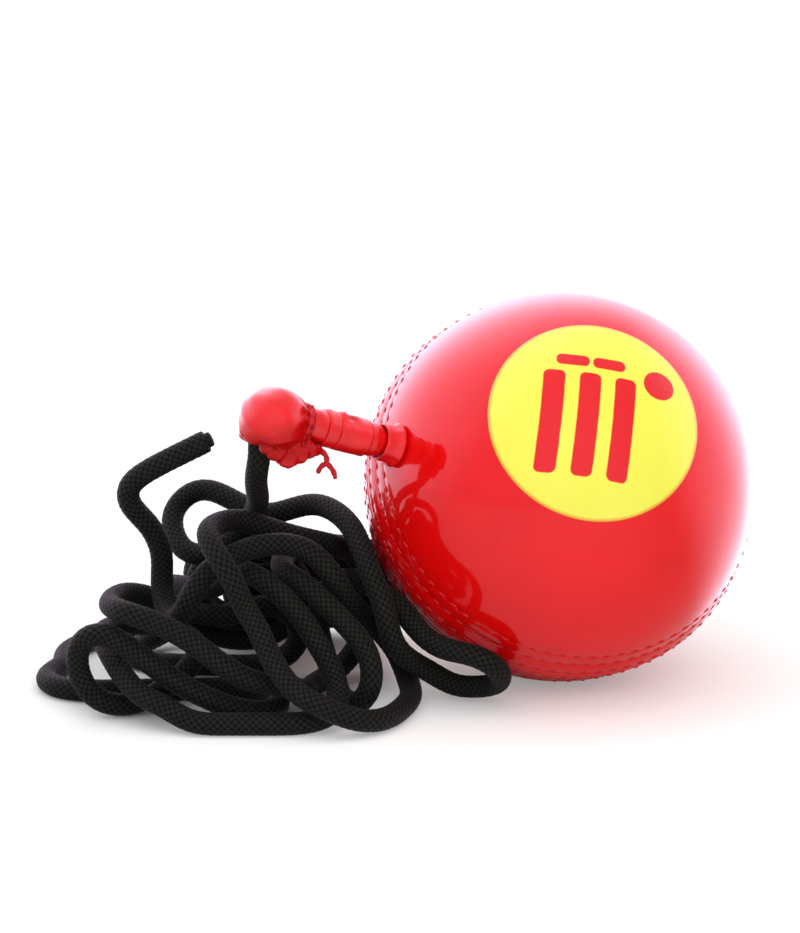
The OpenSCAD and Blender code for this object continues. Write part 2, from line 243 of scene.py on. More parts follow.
# A profile of radius and station turned round an axis; each may change round the axis
def turnedRings(radius, station, origin, axes, columns):
    across, along, out = axes
    angle = np.arange(columns) * 2 * np.pi / columns
    spoke = np.cos(angle)[:, None] * across + np.sin(angle)[:, None] * along
    radius = np.broadcast_to(np.reshape(radius, (len(station), -1)), (len(station), columns))
    station = np.broadcast_to(np.reshape(station, (len(station), -1)), (len(station), columns))
    return origin + station[..., None] * out + radius[..., None] * spoke


# A round line of points: headings, and normals that turn as little as they can from ring to ring
def lineFrames(points):
    heading = unit(np.gradient(points, axis=0))
    side = unit(np.cross(heading, [0.31, 0.83, 0.46]))
    carried = unit(side[:-1] - np.sum(side[:-1] * heading[1:], 1, keepdims=True) * heading[1:])
    swing = np.arctan2(np.sum(heading[1:] * np.cross(carried, side[1:]), 1), np.sum(carried * side[1:], 1))
    back = -np.concatenate([[0], np.cumsum(swing)])[:, None]
    normal = np.cos(back) * side + np.sin(back) * np.cross(heading, side)
    return heading, normal


# A tube round a line: each ring is the line's point plus radius times the spokes of its frame
def tubeRings(points, radius, columns):
    heading, normal = lineFrames(points)
    angle = np.arange(columns) * 2 * np.pi / columns
    spoke = (np.cos(angle)[:, None] * normal[:, None, :]
             + np.sin(angle)[:, None] * np.cross(heading, normal)[:, None, :])
    radius = np.broadcast_to(np.reshape(radius, (len(points), -1)), (len(points), columns))
    return points[:, None, :] + radius[..., None] * spoke


# The camera stands where the photograph was taken from
cameraPlace = {"at": (-29.437, -487.420, 143.497), "tilt": 78.0, "lens": 103.70}
cameraData = bpy.data.cameras.new("photoCamera")
cameraData.lens = cameraPlace["lens"]
cameraData.sensor_width = 36.0
cameraData.clip_start, cameraData.clip_end = 0.01, 60.0
cameraObject = bpy.data.objects.new("photoCamera", cameraData)
cameraObject.location = np.array(cameraPlace["at"]) * mm
cameraObject.rotation_euler = (math.radians(cameraPlace["tilt"]), 0.0, 0.0)
scene.collection.objects.link(cameraObject)
scene.camera = cameraObject
scene.view_settings.view_transform = "Standard"
print("camera set")


# Light: a white room with soft bright sides and a dimmer front that only reflections see, and two broad lamps
lightPlan = {
    "roomLight": 0.86, "darkFront": 0.42, "frontWay": (0.0, -1.0, 0.1), "frontAngles": (42, 90),
    "sideTint": (1.0, 0.82, 1.03), "sidesMiddle": (0.0, 0.0, 0.036),
    # Bright sides of the room: the way to each, the angles where it is full and where it ends, and its strength
    "sides": [
        ((-0.67, 0.46, 0.45), 6, 70, 2.6), ((0.0, 0.60, 0.80), 6, 50, 0.8),
        ((0.90, 0.39, 0.05), 5, 58, 2.3), ((0.45, 0.95, 0.10), 8, 50, 0.4), ((-0.15, -1.0, 0.25), 20, 85, 1.1),
    ],
    "lamps": {
        "overheadLamp": {"at": (-0.10, -0.20, 1.05), "towards": (-0.01, 0.0, 0.02), "size": (1.4, 1.2), "watts": 4.5},
        "frontLamp": {"at": (0.20, -1.20, 0.60), "towards": (-0.01, 0.0, 0.03), "size": (1.2, 1.0), "watts": 6.0},
    },
    "floorSize": 14.0, "floorPaint": 0.72, "glowNear": 0.27, "glowFar": 0.50, "glowReach": (0.35, 1.7),
    # The pile's ellipse, where the floor's glow is cut, is a painted shade under the pile
    "pileMiddle": (-0.064, 0.002, 0.0), "pileHalf": (0.046, 0.050, 1.0), "pileReach": (0.60, 0.82),
}


# Whether a ray comes from the camera, a reflection or glass, and whether it is a reflection
def rayKinds(nodes):
    path = nodes.tree.nodes.new("ShaderNodeLightPath")
    camera, glossy, through = (Value(nodes, path.outputs[name]) for name in
                               ("Is Camera Ray", "Is Glossy Ray", "Is Transmission Ray"))
    return camera.most(glossy).most(through), glossy


# How near a direction is to an axis: 1 within the first angle, 0 outside the second
def towards(nodes, way, axis, full, end):
    match = nodes.vector("DOT_PRODUCT", way, tuple(unit(np.array(axis))))
    return match.between(math.cos(math.radians(end)), math.cos(math.radians(full)))


# The sum of the bright sides in a direction
def brightSides(nodes, way):
    sides = 0.0
    for axis, full, end, strength in lightPlan["sides"]:
        sides = towards(nodes, way, axis, full, end) * strength + sides
    return sides


def lightRoom():
    world = bpy.data.worlds.new("whiteRoom")
    scene.world = world
    world.use_nodes = True
    nodes = Nodes(world.node_tree)
    seen, glossy = rayKinds(nodes)
    way = nodes.node("ShaderNodeTexCoord", output="Generated")
    front = towards(nodes, way, lightPlan["frontWay"], *lightPlan["frontAngles"]) * lightPlan["darkFront"]
    plain = lightPlan["roomLight"] + seen * (1.0 - lightPlan["roomLight"])
    strength = plain * (1 - glossy * front) + glossy * brightSides(nodes, way)
    background = world.node_tree.nodes["Background"]
    world.node_tree.links.new(strength.socket, background.inputs["Strength"])
    paper = nodes.mix(glossy, colour(1.0, 1.0, 1.0), colour(*lightPlan["sideTint"]))
    world.node_tree.links.new(paper.socket, background.inputs["Color"])
    for name, plan in lightPlan["lamps"].items():
        lamp = bpy.data.lights.new(name, "AREA")
        lamp.shape = "RECTANGLE"
        lamp.size, lamp.size_y = plan["size"]
        lamp.energy = plan["watts"]
        holder = bpy.data.objects.new(name, lamp)
        holder.location = plan["at"]
        aim = np.array(plan["at"]) - np.array(plan["towards"])
        holder.rotation_euler = (math.atan2(math.hypot(aim[0], aim[1]), aim[2]), 0.0, math.atan2(aim[0], -aim[1]))
        holder.visible_camera = holder.visible_glossy = False
        scene.collection.objects.link(holder)


# The floor takes the object's shadow, and glows a little to the camera, so that it is white where nothing shades it;
# an ellipse without glow under the pile is a painted shade
def layFloor():
    half = lightPlan["floorSize"] / 2
    mesh = bpy.data.meshes.new("paleFloor")
    mesh.from_pydata([(-half, -half, 0), (half, -half, 0), (half, half, 0), (-half, half, 0)], [], [(0, 1, 2, 3)])
    floor = bpy.data.objects.new("paleFloor", mesh)
    scene.collection.objects.link(floor)
    material = bpy.data.materials.new("paleFloor")
    material.use_nodes = True
    tree = material.node_tree
    nodes = Nodes(tree)
    tree.nodes.remove(tree.nodes["Principled BSDF"])
    seen, glossy = rayKinds(nodes)
    paint = lightPlan["floorPaint"]
    matte = nodes.node("ShaderNodeBsdfDiffuse", inputs={"Color": colour(paint, paint, paint)})
    place = nodes.place()
    near, far = lightPlan["glowNear"], lightPlan["glowFar"]
    level = near + nodes.vector("LENGTH", place).between(*lightPlan["glowReach"]) * (far - near)
    # painted shade: the glow fades out in an ellipse round the pile
    aside = nodes.vector("SUBTRACT", place, lightPlan["pileMiddle"])
    fromPile = nodes.vector("LENGTH", nodes.vector("DIVIDE", aside, lightPlan["pileHalf"]))
    level = level * fromPile.between(*lightPlan["pileReach"])  # under the pile nothing glows
    way = nodes.vector("NORMALIZE", nodes.vector("SUBTRACT", place, lightPlan["sidesMiddle"]))
    level = level * seen * (1 - glossy) + glossy * brightSides(nodes, way)  # the bright sides run on over the floor
    tint = nodes.mix(glossy, colour(1.0, 1.0, 1.0), colour(*lightPlan["sideTint"]))
    glow = nodes.node("ShaderNodeEmission", inputs={"Color": tint, "Strength": level})
    both = nodes.node("ShaderNodeAddShader", inputs={0: matte, 1: glow})
    tree.links.new(both.socket, tree.nodes["Material Output"].inputs["Surface"])
    mesh.materials.append(material)


lightRoom()
layFloor()
print("light and floor set")


# Cord: a black braid on one line from the cap to its bare end
cord = {
    "radius": 2.0, "tipLength": 6.0, "columns": 30, "step": 0.46,
    "carriers": 10, "lay": 12.4, "rise": 0.18, "over": 0.6, "back": 0.4, "level": 0.62,
    "coreRadius": 1.35, "coreShows": 1.1,
    # The last rings: how far each is from the end, the sheath's shares of its radius and then the core's
    "tipLeft": [1.35, 1.22, 1.12, 1.06, 1.0, 0.8, 0.55, 0.3, 0.14, 0.05, 0.0],
    "sheathShares": [1.0, 0.97, 0.90, 0.80], "coreShares": [1.0, 1.0, 1.0, 0.98, 0.90, 0.72, 0.45],
}
dropRoute = [
    (-54, -27, 51), (-54, -27, 47), (-55, -24, 43), (-55, -18, 39), (-55, -12, 36), (-57, -8, 31), (-61, -7, 27),
]
sideRoute = [
    (-66, -6, 24), (-70, -4, 25), (-72, 0, 28), (-72, 3, 31), (-69, 5, 34), (-65, 4, 35), (-60, 1, 33),
    (-55, -2, 31), (-51, -3, 32), (-46, -4, 34), (-42, -8, 34), (-38, -14, 32), (-36, -19, 28), (-34, -23, 24),
    (-32, -25, 19), (-31, -25, 13), (-28, -22, 9), (-24, -19, 6), (-20, -18, 3), (-16, -19, 3), (-12, -21, 4),
    (-11, -25, 7), (-13, -28, 10), (-17, -28, 12), (-22, -26, 12), (-26, -22, 14), (-29, -20, 18),
]
firstHeapRoute = [
    (-34, -16, 21), (-38, -11, 22), (-44, -9, 19), (-45, -11, 12), (-42, -18, 6), (-40, -25, 2), (-36, -30, 3),
    (-34, -31, 8), (-35, -29, 13), (-39, -27, 17), (-43, -26, 21), (-47, -24, 24), (-51, -19, 25),
    (-51, -11, 25), (-49, -4, 26), (-48, 2, 26),
]
middleHeapRoute = [
    (-74, 4, 15), (-72, -1, 18), (-67, -7, 18), (-62, -12, 20), (-60, -18, 25), (-56, -24, 26), (-51, -27, 23),
    (-47, -28, 19), (-44, -29, 14), (-41, -30, 9), (-40, -32, 5), (-41, -36, 3), (-46, -38, 2), (-53, -38, 2),
    (-60, -38, 2), (-66, -38, 2), (-71, -36, 5), (-75, -35, 6), (-79, -30, 9), (-82, -24, 12), (-84, -17, 13),
    (-81, -8, 12), (-73, -5, 11), (-65, -11, 9), (-68, -20, 6), (-75, -25, 2), (-81, -28, 2), (-85, -29, 5),
    (-87, -29, 10), (-86, -30, 15), (-82, -31, 17), (-77, -31, 14), (-72, -32, 10), (-67, -33, 7),
    (-61, -33, 4), (-55, -32, 2), (-51, -29, 2), (-51, -22, 2), (-55, -16, 2), (-62, -16, 2), (-69, -17, 2),
    (-76, -17, 2), (-84, -18, 2), (-92, -17, 2), (-96, -9, 2), (-92, -1, 2),
    (-94, 6, 2), (-91, 15, 2), (-83, 22.5, 2.4), (-72, 26, 3.6),
]
lastHeapRoute = [
    (-69, 18, 9), (-73, 18, 4), (-79, 14, 2), (-82, 7, 2), (-78, 1, 2), (-70, -1, 2),
    (-62, -1, 2), (-54, -2, 2), (-48, -4, 6), (-48, -7, 13), (-54, -10, 17), (-60, -12, 14), (-68, -12, 15),
    (-75, -11, 18), (-80, -15, 20), (-82, -25, 20), (-78, -33, 21), (-72, -33, 19), (-66, -34, 16),
    (-62, -35, 13), (-58, -35, 10), (-54, -34, 8), (-49, -31, 7), (-46, -26, 4), (-47, -20, 2), (-45, -12, 2),
    (-40, -4, 2), (-35, 1, 9), (-35, 0, 18), (-38, -5, 25), (-42, -12, 28), (-47, -16, 30), (-53, -17, 32),
    (-58, -17, 34), (-62, -20, 34), (-64, -28, 34), (-61, -34, 31), (-58, -34, 26), (-57, -33, 22),
    (-54, -34, 18), (-52, -36, 13), (-48, -39, 8), (-43, -41, 6), (-37, -40, 3), (-32, -36, 2), (-29, -29, 2),
    (-27, -21, 2), (-28, -14, 3), (-30, -11, 8), (-34, -13, 13), (-37, -19, 17), (-40, -22, 22),
    (-42, -23, 26), (-46, -22, 30), (-52, -23, 31), (-57, -24, 30),
]
tailRoute = [
    (-62, -26, 28), (-66, -28, 24), (-68, -27, 18), (-71, -21, 16), (-73, -15, 21), (-72, -16, 27),
    (-74, -18, 33), (-78, -20, 37), (-78, -21, 41), (-74, -22, 44), (-68, -22, 47),
]
coils = {
    "lean": 25.0, "step": 30.0, "shoulder": 1.6,
    "round": {"middle": (-59, 5, 15), "radius": 13.0, "pitch": 4.8, "reach": 0.0,
              "start": 30, "layerAt": -390, "finish": -870},
    "long": {"middle": (-47.5, 18.4, 11.5), "radius": 10.3, "pitch": 5.2, "reach": 8.5,
             "start": 255, "layerAt": 720, "finish": 1230},
}


# A coil that leans on the back of the pile: it winds in at an even pitch, steps a layer nearer and winds out again;
# a long one is drawn out sideways by its reach
def coilRoute(coil):
    way = math.copysign(1, coil["finish"] - coil["start"])
    turn = np.arange(coil["start"], coil["finish"] + way * 0.001, way * coils["step"])
    inward = abs(coil["start"] - coil["layerAt"]) - np.abs(turn - coil["layerAt"])
    radius = coil["radius"] - coil["pitch"] * inward / 360
    depth = coil["pitch"] * (1 - smoothStep((way * (turn - coil["layerAt"]) + 90) / 180))
    lean, turn = np.radians(coils["lean"]), np.radians(turn)
    sideways = radius * np.cos(turn) + coil["reach"] * np.clip(coils["shoulder"] * np.cos(turn), -1, 1)
    up = np.array([0, -np.sin(lean), np.cos(lean)])
    back = np.array([0, np.cos(lean), np.sin(lean)])
    return (np.array(coil["middle"]) + depth[:, None] * back + sideways[:, None] * np.array([1.0, 0, 0])
            + (radius * np.sin(turn))[:, None] * up)


# A uniform cubic B-spline that the route's points draw, through the first and the last
def drawnLine(route, perSpan=16):
    guide = np.vstack([2 * route[0] - route[1], route, 2 * route[-1] - route[-2]])
    t = np.arange(perSpan) / perSpan
    share = np.stack([(1 - t) ** 3, 3 * t ** 3 - 6 * t ** 2 + 4, 1 + 3 * t + 3 * t ** 2 - 3 * t ** 3, t ** 3], 1) / 6
    spans = np.stack([guide[k:len(guide) - 3 + k] for k in range(4)], 1)
    return np.vstack([np.einsum("tk,nkd->ntd", share, spans).reshape(-1, 3), route[-1]])


# Distance along a line at each of its points
def lineStations(points):
    return np.concatenate([[0], np.cumsum(np.linalg.norm(np.diff(points, axis=0), axis=1))])


# Points of a line at given distances along it, straight between its own
def pointsAt(line, stations):
    known = lineStations(line)
    return np.stack([np.interp(stations, known, line[:, k]) for k in range(3)], 1)


# Two families of strands wind opposite ways, each over one and under one; the height is the upper one's rounded back
def braidHeight(turn, lays):
    first = cord["carriers"] * (lays + turn)
    second = cord["carriers"] * (lays - turn)
    firstStrand, secondStrand = np.floor(first), np.floor(second)
    firstBack = cord["back"] * np.cos(np.pi * (first - firstStrand - 0.5))
    secondBack = cord["back"] * np.cos(np.pi * (second - secondStrand - 0.5))
    return np.maximum(firstBack + cord["over"] * np.sin(np.pi * (second + firstStrand)),
                      secondBack - cord["over"] * np.sin(np.pi * (first + secondStrand)))


# The braid, its ridges drawn as Bump, with filaments along each strand; its colour is a painted shade in the gaps
# between strands and a painted highlight on their backs
def drawBraid(nodes):
    turn, lays = nodes.pieceMap()
    first = (lays + turn) * cord["carriers"]
    second = (lays - turn) * cord["carriers"]
    firstStrand, secondStrand = first.floor(), second.floor()
    firstAcross, secondAcross = first - firstStrand, second - secondStrand
    over = ((second + firstStrand) * np.pi).sine() * cord["over"] + (firstAcross * np.pi).sine() * cord["back"]
    under = ((first + secondStrand) * np.pi).sine() * -cord["over"] + (secondAcross * np.pi).sine() * cord["back"]
    top = over.most(under)
    firstOnTop = over.maths("GREATER_THAN", under)
    fibre = ((firstAcross * firstOnTop + secondAcross * (1 - firstOnTop)) * (2 * np.pi * 5)).sine()
    fuzz = nodes.noise(2600.0, 3.0, 0.6)
    back = (top + fibre * 0.10 + fuzz * 0.25).between(0.25, 1.2)
    return {
        # painted shade in the gaps and painted highlight on the strand backs, both taken from the braid's height
        "Base Color": nodes.mix(back, colour(0.0009, 0.0011, 0.0008), colour(0.0145, 0.0158, 0.0130)),
        "Roughness": 0.66 - back * 0.14,
        "Normal": nodes.bump(top + fibre * 0.16 + fuzz * 0.35, 0.55, 0.00016),
    }


cordFinish = newFinish("blackBraid", drawBraid, Specular_IOR_Level=0.05, Sheen_Weight=0.02, Sheen_Roughness=0.4)
route = np.vstack([dropRoute, sideRoute, firstHeapRoute, coilRoute(coils["round"]), middleHeapRoute,
                   coilRoute(coils["long"]), lastHeapRoute, tailRoute])
cordLine = drawnLine(route)
tipWay = unit(route[-1] - route[-2])
cordLine = np.vstack([cordLine, cordLine[-1] + np.arange(1, 13)[:, None] / 12 * cord["tipLength"] * tipWay])
cordLength = lineStations(cordLine)[-1]
print("cord length", round(cordLength, 1), "mm")


# The tube's radius is the cord's plus the braid's height; near the end the sheath stops and the core shows
def makeCord():
    endAt = cordLength - cord["coreShows"]
    body = np.linspace(0, endAt - 0.5, int(cordLength / cord["step"]))
    stations = np.concatenate([body, cordLength - np.array(cord["tipLeft"])])
    columns = cord["columns"]
    turn = np.arange(columns) / columns
    braid = braidHeight(turn[None, :], stations[:, None] / cord["lay"])
    fade = smoothStep(endAt - stations)[:, None]
    radius = cord["radius"] + cord["rise"] * (braid - cord["level"]) * (0.25 + 0.75 * fade)
    sheath, core = (np.array(cord[key])[:, None] for key in ("sheathShares", "coreShares"))
    radius[-len(sheath) - len(core):-len(core)] *= sheath
    radius[-len(core):] = cord["coreRadius"] * core
    points = pointsAt(cordLine, stations)
    shape = skin(tubeRings(points, radius, columns), points[0], points[-1], rowMap=stations / cord["lay"])
    return newPiece("pileCord", shape, cordFinish, "cord", "cord_braid",
                    "cord_drop", "cord_side_loop", "cord_heap", "cord_tail", "cord_tip")


cordPiece = makeCord()


# Red leathers: a polished one on the ball, a satin one on the stem and the cap
def drawBallLeather(nodes):
    cloud = nodes.noise(55.0, 3.0, 0.55)
    grain = nodes.noise(900.0, 3.0, 0.6)
    pores = nodes.cells(1500.0)
    dye = (cloud * 0.8 + grain * 0.2).between(0.25, 0.75)
    return {
        "Base Color": nodes.mix(dye, colour(0.66, 0.0010, 0.0012), colour(0.74, 0.0026, 0.0028)),
        "Roughness": 0.26 + grain * 0.10,
        "Normal": nodes.bump(grain * 0.7 + pores * 0.3, 0.06, 0.00025),
    }


# The satin leather may be given a painted shade: where it falls the colour is darkened to a deep red and the coat is
# thinner
def drawStemLeather(shade=None):
    def draw(nodes):
        cloud = nodes.noise(160.0, 3.0, 0.6)
        grain = nodes.noise(1400.0, 4.0, 0.6)
        creases = nodes.cells(700.0, "DISTANCE_TO_EDGE")
        dye = (cloud * 0.75 + grain * 0.25).between(0.28, 0.72)
        red = nodes.mix(dye, colour(0.58, 0.0012, 0.0014), colour(0.76, 0.0036, 0.0040))
        drawn = {"Roughness": 0.30 + grain * 0.16,
                 "Normal": nodes.bump(grain * 0.6 + creases * 0.4, 0.14, 0.0003)}
        if shade:
            # painted shade: a deep red mixed in, and the coat thinned, where the shade mask is high
            shadeShare = shade(nodes).most(0.0)
            red = nodes.mix(shadeShare, red, colour(0.36, 0.0006, 0.0008))
            drawn["Coat Weight"] = 0.9 - shadeShare * 0.88
        drawn["Base Color"] = red
        return drawn
    return draw


def newStemFinish(name, shade=None):
    return newFinish(name, drawStemLeather(shade), Specular_IOR_Level=0.14,
                     Coat_Weight=0.9, Coat_Roughness=0.20, Coat_IOR=1.36)


ballFinish = newFinish("polishedRedLeather", drawBallLeather, Specular_IOR_Level=0.04,
                       Coat_Weight=1.0, Coat_Roughness=0.06, Coat_IOR=1.30)
stemFinish = newStemFinish("satinRedLeather")


# Thread: two plies twisted together, drawn as slanting stripes on the piece's own map; the colour is a painted shade
# in the grooves between the plies, lighter on their backs, with some random tone
def drawThread(dark, light, twists):
    def draw(nodes):
        around, along = nodes.pieceMap()
        ply = ((around * 2 + along * twists) * (2 * np.pi)).sine() * 0.5 + 0.5
        fuzz = nodes.noise(4200.0, 3.0, 0.6)
        back = (ply * 0.75 + fuzz * 0.5).between(0.15, 1.0)
        # painted shade in the ply grooves and lighter ply backs, mixed with random fuzz
        return {"Base Color": nodes.mix(back, colour(*dark), colour(*light)),
                "Roughness": 0.72 - back * 0.14,
                "Normal": nodes.bump(ply + fuzz * 0.5, 0.5, 0.00012)}
    return draw


seamFinish = newFinish("seamThread", drawThread((0.40, 0.007, 0.011), (0.66, 0.012, 0.016), 3.0),
                       Specular_IOR_Level=0.1, Coat_Weight=0.35, Coat_Roughness=0.25, Coat_IOR=1.36)
bindingFinish = newFinish("bindingThread", drawThread((0.30, 0.003, 0.007), (0.62, 0.010, 0.018), 26.0),
                          Specular_IOR_Level=0.3)


# Ball: two half covers that meet in a raised welt, with three rows of stitches on each side of it
ball = {
    "radius": 36.0, "wall": 4.0, "middle": (0.0, 0.0, 36.0), "seamTurn": 16.0, "seamRise": 32.0,
    "weltHeight": 0.5, "weltEnd": 14.0, "rowFirst": 2.4, "rowStep": 4.8, "stitches": 80, "stitchShare": 0.62,
    "threadRadius": 0.33, "threadRise": 0.20, "threadDip": 0.55, "stitchSlant": 0.55, "columnsPerStitch": 8,
    "holeDepth": 0.12, "holeSize": 0.45, "grooveShare": 0.35, "grooveSize": 0.55, "edgeDrop": 0.16, "edgeEnd": 0.8,
}
ballMiddle = np.array(ball["middle"])
seamAxes = facing(ball["seamTurn"], ball["seamRise"])
rowLats = ball["rowFirst"] + ball["rowStep"] * np.arange(3)


# Height of the welt: a round band through the seam's ridge and the two latitudes where it runs out
def weltTop(lat):
    lat = np.radians(np.abs(lat))
    r, h, end = ball["radius"], ball["weltHeight"], np.radians(ball["weltEnd"])
    arc = (2 * r * h + h * h) / (2 * (r + h - r * np.cos(end)))
    middle = r + h - arc
    band = middle * np.cos(lat) + np.sqrt(np.maximum(arc ** 2 - (middle * np.sin(lat)) ** 2, 0))
    return np.where(lat < end, np.maximum(band, r), r)


# A half cover is turned round the seam's pole: its inner wall, its face on the seam, and its outer wall with the
# welt, pressed in round the ends of the stitches
def makeCover(name, side, node):
    across, along, out = seamAxes
    axes = (across, side * along, side * out)
    columns = ball["stitches"] * ball["columnsPerStitch"]
    lon = side * np.arange(columns) * 360 / columns
    inner = ball["radius"] - ball["wall"]
    innerLat = np.linspace(84, 0, 12)
    faceRadius = np.array([inner + 1.2, ball["radius"] - 0.6, ball["radius"] + 0.25])
    lat = np.concatenate([[0.22, 0.45], np.arange(0.75, 15.0, 0.3), np.arange(15.6, 20, 1.0), np.arange(22, 89, 2.2)])
    pitch = 360 / ball["stitches"]
    phase = np.mod(lon, pitch)
    nearest = np.minimum(np.minimum(phase, pitch - phase), np.abs(phase - ball["stitchShare"] * pitch))
    press = np.zeros((len(lat), columns))
    for rowLat in rowLats:
        acrossRow = np.radians(lat - rowLat)[:, None] * ball["radius"]
        alongRow = np.radians(nearest)[None, :] * ball["radius"]
        press += np.exp(-(acrossRow ** 2 + alongRow ** 2) / ball["holeSize"] ** 2)
        press += ball["grooveShare"] * np.exp(-(acrossRow / ball["grooveSize"]) ** 2)
    outer = weltTop(lat)[:, None] - ball["holeDepth"] * press
    outer = outer - ball["edgeDrop"] * (1 - smoothStep(lat / ball["edgeEnd"])[:, None])
    radius = np.vstack([
        np.repeat((inner * np.cos(np.radians(innerLat)))[:, None], columns, 1),
        np.repeat(faceRadius[:, None], columns, 1),
        outer * np.cos(np.radians(lat))[:, None]])
    station = np.vstack([
        np.repeat((inner * np.sin(np.radians(innerLat)))[:, None], columns, 1),
        np.zeros((3, columns)) + 0.02,
        outer * np.sin(np.radians(lat))[:, None]])
    rings = turnedRings(radius, station, ballMiddle, axes, columns)
    poles = [ballMiddle + axes[2] * inner, ballMiddle + axes[2] * ball["radius"]]
    return newPiece(name, skin(rings, *poles), ballFinish, "ball", "ball_leather", node)


# A stitch is a short thread along its row that rises out of one hole and dips into the next, slanting a little
def makeStitchRow(name, side, rowLat, node):
    rings, columns = 7, 8
    t = np.linspace(0, 1, rings)
    pitch = 360 / ball["stitches"]
    lon = (np.arange(ball["stitches"])[:, None] + t[None, :] * ball["stitchShare"]) * pitch
    lat = side * (rowLat + ball["stitchSlant"] * (t - 0.5))[None, :] + 0 * lon
    lift = ball["threadRise"] - ball["threadRadius"] - ball["threadDip"] * np.abs(2 * t - 1) ** 2.2
    reach = weltTop(np.abs(lat)) + lift[None, :]
    lon, lat = np.radians(lon), np.radians(lat)
    across, along, out = seamAxes
    spoke = np.cos(lon)[..., None] * across + np.sin(lon)[..., None] * along
    outward = np.cos(lat)[..., None] * spoke + np.sin(lat)[..., None] * out
    points = ballMiddle + reach[..., None] * outward
    heading = unit(np.gradient(points, axis=1))
    beside = unit(np.cross(heading, outward))
    above = np.cross(beside, heading)
    angle = np.arange(columns) * 2 * np.pi / columns
    swell = ball["threadRadius"] * (0.72 + 0.30 * np.sin(np.pi * t) ** 0.7)
    ring = (np.cos(angle)[:, None] * above[:, :, None, :] - np.sin(angle)[:, None] * beside[:, :, None, :])
    tube = points[:, :, None, :] + swell[None, :, None, None] * ring
    shape = joined([skin(tube[k], points[k, 0], points[k, -1]) for k in range(ball["stitches"])])
    return newPiece(name, shape, seamFinish, "ball", "seam_thread", node)


makeCover("frontCover", 1, "cover_front")
makeCover("rearCover", -1, "cover_rear")
for number, rowLat in enumerate(rowLats, 1):
    makeStitchRow("frontStitches" + str(number), 1, rowLat, "front_row_" + str(number))
    makeStitchRow("rearStitches" + str(number), -1, rowLat, "rear_row_" + str(number))


# Print: a thin round film in yellow, with a wicket and a ball drawn in red
printDisc = {
    "across": 37.5, "turn": 9.9, "rise": 34.0, "proud": 0.05, "sunk": 0.12, "tilt": 12.0,
    "columns": 160, "rings": 44, "edgeTint": (18.05, 18.72),
    # The motif in millimetres: boxes by middle, half sizes and corner, and a round mark by middle and radius
    "boxes": [(-8.2, -2.4, 1.9, 9.6, 1.1), (-1.9, -2.4, 1.9, 9.6, 1.1), (4.4, -2.4, 1.9, 9.6, 1.1),
              (-5.1, 9.6, 2.9, 1.15, 1.0), (1.3, 9.6, 2.9, 1.15, 1.0)],
    "mark": (10.6, 7.6, 2.9),
}
printAxes = facing(printDisc["turn"], printDisc["rise"])


# Distance from a place on the film
def fromPlace(x, y, middleX=0.0, middleY=0.0):
    dx, dy = x - middleX, y - middleY
    return (dx * dx + dy * dy).maths("SQRT")


# Distance to a box with round corners
def roundBox(x, y, middleX, middleY, halfX, halfY, corner):
    dx = ((x - middleX).size() - (halfX - corner)).most(0.0)
    dy = ((y - middleY).size() - (halfY - corner)).most(0.0)
    return fromPlace(dx, dy) - corner


# Red where the distance to the nearest shape is below zero, with worn edges, on yellow that tans at its rim
def drawPrint(nodes):
    x, y = nodes.pieceMap()
    markX, markY, markRadius = printDisc["mark"]
    nearest = fromPlace(x, y, markX, markY) - markRadius
    for box in printDisc["boxes"]:
        nearest = nearest.least(roundBox(x, y, *box))
    worn = nodes.noise(420.0, 3.0, 0.6)
    ink = 1 - (nearest + (worn - 0.5) * 0.18).between(-0.12, 0.12)
    rim = (fromPlace(x, y) + (worn - 0.5) * 0.3).between(*printDisc["edgeTint"])
    yellow = nodes.mix(nodes.noise(90.0, 2.0), colour(0.745, 0.715, 0.062), colour(0.785, 0.760, 0.090))
    edged = nodes.mix(rim * 0.75, yellow, colour(0.72, 0.20, 0.012))
    return {"Base Color": nodes.mix(ink, edged, colour(0.66, 0.0105, 0.0125)),
            "Roughness": 0.22 + worn * 0.10,
            "Normal": nodes.bump(nodes.noise(900.0, 3.0, 0.6), 0.05, 0.0002)}


# The film is a cap of a sphere just over the leather, rounded off at its rim and closed underneath
def makePrint():
    across, along, out = printAxes
    tilt = np.radians(printDisc["tilt"])
    right = np.cos(tilt) * across - np.sin(tilt) * along
    up = np.sin(tilt) * across + np.cos(tilt) * along
    rim, count = printDisc["across"] / 2, printDisc["rings"]
    radius = np.concatenate([[rim * 0.3, rim * 0.7, rim - 0.05, rim, rim - 0.03], np.linspace(rim - 0.2, 0.6, count)])
    height = np.concatenate([np.full(3, -printDisc["sunk"]), [-0.03, 0.03], np.full(count, printDisc["proud"])])
    station = np.sqrt((ball["radius"] + height) ** 2 - radius ** 2)
    rings = turnedRings(radius, station, ballMiddle, (right, up, out), printDisc["columns"])
    poles = [ballMiddle + out * (ball["radius"] + h) for h in (-printDisc["sunk"], printDisc["proud"])]
    shape = skin(rings, *poles)
    corners = np.concatenate([shape["quads"].ravel(), shape["fans"].ravel()])
    offset = shape["points"][corners] - ballMiddle
    shape["map"] = np.stack([offset @ right, offset @ up], 1)
    return newPiece("printFilm", shape, printFinish, "ball", "print", "print_disc")


printFinish = newFinish("yellowPrint", drawPrint, Specular_IOR_Level=0.04,
                        Coat_Weight=1.0, Coat_Roughness=0.07, Coat_IOR=1.30)
makePrint()


